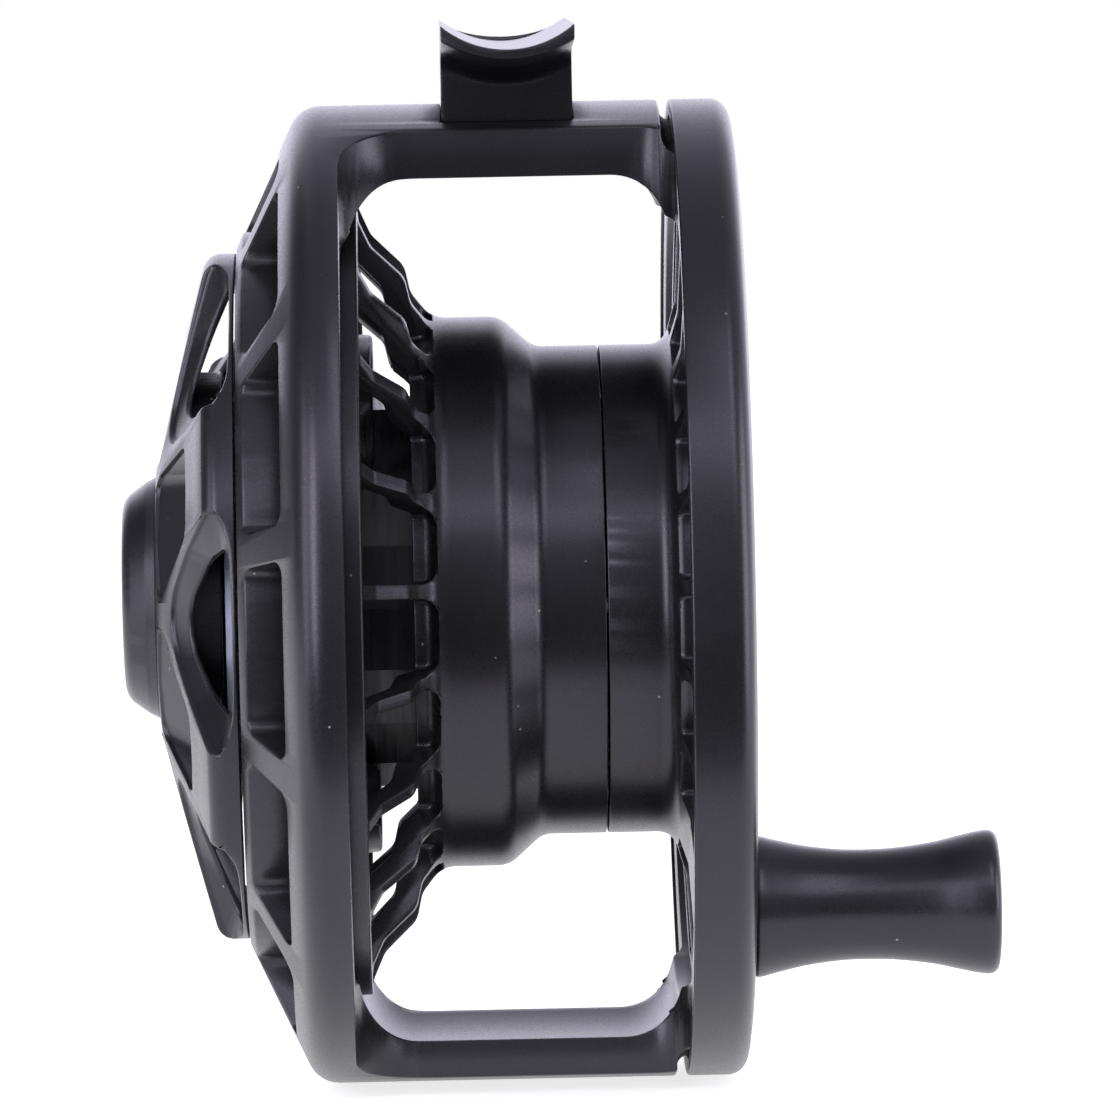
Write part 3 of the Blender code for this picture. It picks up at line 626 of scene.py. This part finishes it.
def spool():
    """Ported spool: rear flange with S-shaped spokes, stepped arbor, front flange and palming rim."""
    rear = fillet([(SEAM_X - SEAM, SMALL_ARBOR_R, 0.15), (2.4, SMALL_ARBOR_R, 2.5),
                   (-1.2, ARBOR_R, 3.0), (-8.2, ARBOR_R, 3.0), (-10.3, 31.4, 2.5),
                   (-10.9, 34.2, 2.4), (-14.3, 37.5, 2.4), (-15.5, 40.2, 1.5), (-15.7, 41.9, 0.3),
                   (-17.8, 41.9, 0.5), (-18.0, 40.2, 1.5), (-16.6, 37.2, 2.4), (-13.3, 33.6, 2.4),
                   (-12.7, 30.4, 2.0), (-10.6, 27.9, 0.8), (-10.3, 24.6, 0.3), (-2.6, 24.6),
                   (1.2, 23.4), (6.4, 23.2), (6.4, HUB_R), (SEAM_X - SEAM, HUB_R)], 10)
    made = turned("spool_back", rear)
    sections = [(-22.0, 0.0), (-9.6, 0.0), (-9.0, 0.2), (-8.5, 0.6), (-8.1, 1.3), (-7.9, 2.1)]
    windows = [(x, sector(27.7, 40.9, 7.42, 7.95, 2.6, shrink)) for x, shrink in sections]
    machine(made, [loft("rear_windows", windows, spoke_turns())], SPOOL_EDGE)
    finish_piece(made, "spool", BLACK, ["spool_rear", "spool_arbor"])

    front = fillet([(23.4, 47.4, 1.6), (22.9, RIM_R, 2.9), (16.9, RIM_R, 0.3), (16.9, 49.4, 0.2),
                    (21.9, 49.4), (21.9, 42.1), (17.9, 42.1, 0.3), (17.3, 30.0, 2.0),
                    (16.0, SMALL_ARBOR_R, 2.2), (SEAM_X + SEAM, SMALL_ARBOR_R, 0.15),
                    (SEAM_X + SEAM, HUB_R), (12.0, HUB_R), (12.0, 23.5), (15.0, 23.5), (15.0, 13.0),
                    (3.5, 13.0), (3.5, 8.6), (22.6, 8.6, 0.3), (22.6, 11.0, 0.5), (18.6, 14.5, 2.0),
                    (18.6, 23.0, 1.5), (20.4, 27.0, 1.0), (20.6, 41.0, 1.0), (23.4, 44.0, 1.0)], 8)
    made = turned("spool_face", front)
    balance_spot = (-HANDLE_SPOT[0], -HANDLE_SPOT[1])
    boss = (18.3, 23.15, 4.9)
    combine(made, [rod("handle_boss", *boss, HANDLE_SPOT), rod("balance_boss", *boss, balance_spot)], "UNION")
    sections = [(25.0, 0.0), (17.2, 0.0), (16.6, 0.25), (16.1, 0.8), (15.9, 1.6)]
    keep = [turn for i, turn in enumerate(spoke_turns()) if i % 10 != 6]     # solid at the two bosses
    windows = [(x, sector(26.6, 40.2, 7.3, 7.9, 2.2, shrink)) for x, shrink in sections]
    tools = [loft("front_windows", windows, keep)]
    web = sector(14.9, 22.3, 11.0, 13.6, 2.2)
    tools.append(loft("web_windows", [(14.0, web), (20.0, web)], [36.0 * i + 18.0 for i in range(10)]))
    tools.append(rod("handle_seat", 19.2, 26.0, 3.1, HANDLE_SPOT))
    tools.append(rod("balance_seat", 19.2, 26.0, 4.6, balance_spot))
    for i in range(5):
        tools.append(rod("screw_way", 8.0, 13.0, 1.5, on_circle(21.5, 72.0 * i)))
    machine(made, tools, SPOOL_EDGE)
    finish_piece(made, "spool", BLACK, ["spool_front"])


def release():
    """Button in the middle of the spool's face."""
    profile = fillet([(24.4, 0.0), (24.4, 6.6, 0.5), (23.8, 7.6, 0.5), (22.2, 8.2, 0.4), (20.2, 8.2),
                      (20.2, 7.0), (22.0, 7.0), (22.0, 0.0)], 6, False)
    made = turned("release_cap", profile, SMALL_STEPS)
    finish_piece(made, "release_button", BLACK, ["release_button"])


def grip():
    """Waisted handle grip: a smooth curve through the outer points."""
    outer = [(GRIP_END_X, 6.0), (48.6, 6.9), (47.9, 7.38), (46.5, 7.25), (44.7, 6.86), (42.0, 6.25),
             (38.5, 5.79), (35.5, 5.65), (32.4, 5.73), (29.0, 6.15), (26.2, 6.76), (24.2, 7.25),
             (23.65, 7.1)]
    smooth = [outer[0]]
    for before, start, end, after in zip([outer[0]] + outer, outer, outer[1:], outer[2:] + [outer[-1]]):
        for k in range(1, 6):
            t = k / 5
            smooth.append(tuple(0.5 * (2 * b + (c - a) * t + (2 * a - 5 * b + 4 * c - d) * t ** 2
                                       + (3 * b - a - 3 * c + d) * t ** 3)
                                for a, b, c, d in zip(before, start, end, after)))
    bore = [(23.65, 5.4), (24.4, 5.4), (24.4, GRIP_BORE_R), (45.4, GRIP_BORE_R), (45.4, 4.7)]
    made = turned("grip", [(GRIP_END_X, 4.7)] + smooth + bore, SMALL_STEPS, HANDLE_SPOT)
    finish_piece(made, "handle", BLACK, ["handle_grip"])


def plain_nodes():
    """Better materials for the CAD nodes that stay."""
    slots = {row["node"]: row["material_slot"] for row in frame["record"]["subparts"]}
    for name, node in frame["nodes"].items():
        if not node.hide_render:
            # The click plate gets a pale diffuse colour as a painted reflection, in place of its own metal finish.
            dress(node, PLATE_PAINTED_REFLECTION if name == "click_plate" else FINISHES[slots[name]])


# ---------------------------------------------------------------------------------------------
# Studio
# ---------------------------------------------------------------------------------------------

TENT_TINT = (0.975, 0.96, 1.045)
TENT_STRENGTH = 2.3
LAMP_COLOUR = (1.0, 0.985, 1.07)
LAMPS = (                 # azimuth, elevation, width, height, radiance
    ("key_left", -36.0, 14.0, 0.34, 0.95, 5.6),
    ("side_left", -66.0, 10.0, 0.40, 0.90, 2.6),
    ("side_right", 72.0, 6.0, 0.55, 0.90, 3.4),
    ("key_top", 0.0, 38.0, 0.60, 0.26, 1.7),
    ("key_right", 27.0, 44.0, 0.30, 0.75, 2.4),
)


def studio_world():
    """White tent: dark low in front of the reel and bright behind it, in reflections only."""
    world = bpy.data.worlds.new("tent")
    bpy.context.scene.world = world
    world.use_nodes = True
    tree = world.node_tree
    nodes = tree.nodes
    nodes.clear()
    out = nodes.new("ShaderNodeOutputWorld")
    place = nodes.new("ShaderNodeTexCoord")
    split = nodes.new("ShaderNodeSeparateXYZ")
    tree.links.new(place.outputs["Generated"], split.inputs["Vector"])

    def ramp(source, stops):
        """Piecewise radiance over a direction component from -1 to 1."""
        scale = nodes.new("ShaderNodeMapRange")
        scale.inputs["From Min"].default_value = -1.0
        scale.inputs["From Max"].default_value = 1.0
        tree.links.new(source, scale.inputs["Value"])
        node = nodes.new("ShaderNodeValToRGB")
        node.color_ramp.interpolation = "EASE"
        while len(node.color_ramp.elements) < len(stops):
            node.color_ramp.elements.new(0.5)
        for element, (where, value) in zip(node.color_ramp.elements, stops):
            element.position = (where + 1.0) / 2.0
            element.color = (*(value * part for part in TENT_TINT), 1.0)
        tree.links.new(scale.outputs["Result"], node.inputs["Fac"])
        return node.outputs["Color"]

    def mix(first, second, blend="MIX"):
        node = nodes.new("ShaderNodeMix")
        node.data_type = "RGBA"
        node.blend_type = blend
        tree.links.new(first, node.inputs[6])
        tree.links.new(second, node.inputs[7])
        return node

    front = ramp(split.outputs["Z"], [(-1.0, 0.40), (-0.77, 0.25), (-0.47, 0.055), (-0.12, 0.06),
                                      (0.07, 0.14), (0.4, 0.18), (0.8, 0.20), (1.0, 0.20)])
    back = ramp(split.outputs["Z"], [(-1.0, 0.6), (-0.3, 0.9), (0.0, 1.0), (0.25, 0.85), (0.6, 0.35),
                                     (1.0, 0.15)])
    # How much of the sheet behind shows in a direction, and how wide that sheet is.
    share = ramp(split.outputs["Y"], [(-1.0, 0.0), (-0.65, 0.0), (-0.2, 0.35), (0.1, 0.75), (0.5, 1.0)])
    spread = ramp(split.outputs["X"], [(-1.0, 0.10), (-0.62, 0.12), (-0.30, 1.0), (0.45, 1.0),
                                       (0.75, 0.8), (1.0, 0.8)])
    sheet = mix(back, spread, "MULTIPLY")
    sheet.inputs["Factor"].default_value = 1.0
    tent = mix(front, sheet.outputs[2])
    tree.links.new(share, tent.inputs["Factor"])
    seen = nodes.new("ShaderNodeBackground")
    felt = nodes.new("ShaderNodeBackground")
    felt.inputs["Strength"].default_value = TENT_STRENGTH
    tree.links.new(tent.outputs[2], felt.inputs["Color"])
    seen.inputs["Color"].default_value = (1.0, 1.0, 1.0, 1.0)
    pick = nodes.new("ShaderNodeMixShader")
    tree.links.new(nodes.new("ShaderNodeLightPath").outputs["Is Camera Ray"], pick.inputs["Fac"])
    tree.links.new(felt.outputs["Background"], pick.inputs[1])
    tree.links.new(seen.outputs["Background"], pick.inputs[2])
    tree.links.new(pick.outputs["Shader"], out.inputs["Surface"])


def away(azimuth, elevation):
    """Direction seen from the spool: azimuth 0 is the camera's side, and + is to the right."""
    a, e = math.radians(azimuth), math.radians(elevation)
    return Vector((math.sin(a) * math.cos(e), -math.cos(a) * math.cos(e), math.sin(e)))


def softbox(name, azimuth, elevation, width, height, radiance):
    """Soft light that faces the spool, and that the camera doesn't see."""
    light = bpy.data.lights.new(name, "AREA")
    light.shape = "RECTANGLE"
    light.size = width
    light.size_y = height
    light.energy = radiance * math.pi * width * height
    light.color = LAMP_COLOUR
    made = bpy.data.objects.new(name, light)
    way = away(azimuth, elevation)
    made.location = Vector((0.0, 0.0, AXIS_Z * MM)) + way * 1.1
    made.rotation_euler = way.to_track_quat("Z", "Y").to_euler()
    made.visible_camera = False
    bpy.context.scene.collection.objects.link(made)


def studio_floor():
    """White light table just under the reel."""
    z = cad_box[0][2] - 0.0004
    half_width, near, far = 0.9, -0.09, 1.4
    mesh = bpy.data.meshes.new("floor")
    corners = [(-half_width, near), (half_width, near), (half_width, far), (-half_width, far)]
    mesh.from_pydata([(x, y, z) for x, y in corners], [], [(0, 1, 2, 3)])
    made = bpy.data.objects.new("floor", mesh)
    bpy.context.scene.collection.objects.link(made)
    surface = Nodes("floor_white")
    tint = surface.noise(8.0)
    tone = surface.blend(surface.spread(tint, 0.0, 1.0), (0.80, 0.80, 0.80), (0.84, 0.84, 0.84))
    surface.wire(tone, surface.shader.inputs["Base Color"])
    surface.shader.inputs["Roughness"].default_value = 0.8
    surface.shader.inputs["Emission Color"].default_value = (1.0, 1.0, 1.0, 1.0)
    surface.shader.inputs["Emission Strength"].default_value = 0.75
    made.data.materials.append(surface.material)


def studio_camera():
    """Long lens at the photograph's angle."""
    distance = 0.900
    roll = 1.1
    data = bpy.data.cameras.new("camera")
    data.sensor_width = 36.0
    data.lens = 276.6
    data.clip_start = 0.05
    data.clip_end = 20.0
    camera = bpy.data.objects.new("camera", data)
    back = away(-0.9, 4.3)
    target = Vector((4.76, 0.0, AXIS_Z + 3.1)) * MM
    camera.location = target + back * distance
    level = (-back).to_track_quat("-Z", "Y").to_matrix().to_4x4()
    camera.rotation_euler = (level @ Matrix.Rotation(math.radians(-roll), 4, "Z")).to_euler()
    bpy.context.scene.collection.objects.link(camera)
    bpy.context.scene.camera = camera


cage()
foot()
knob()
spool()
release()
grip()
plain_nodes()
studio_world()
studio_floor()
studio_camera()
for lamp in LAMPS:
    softbox(*lamp)
bpy.context.scene.view_settings.view_transform = "Standard"
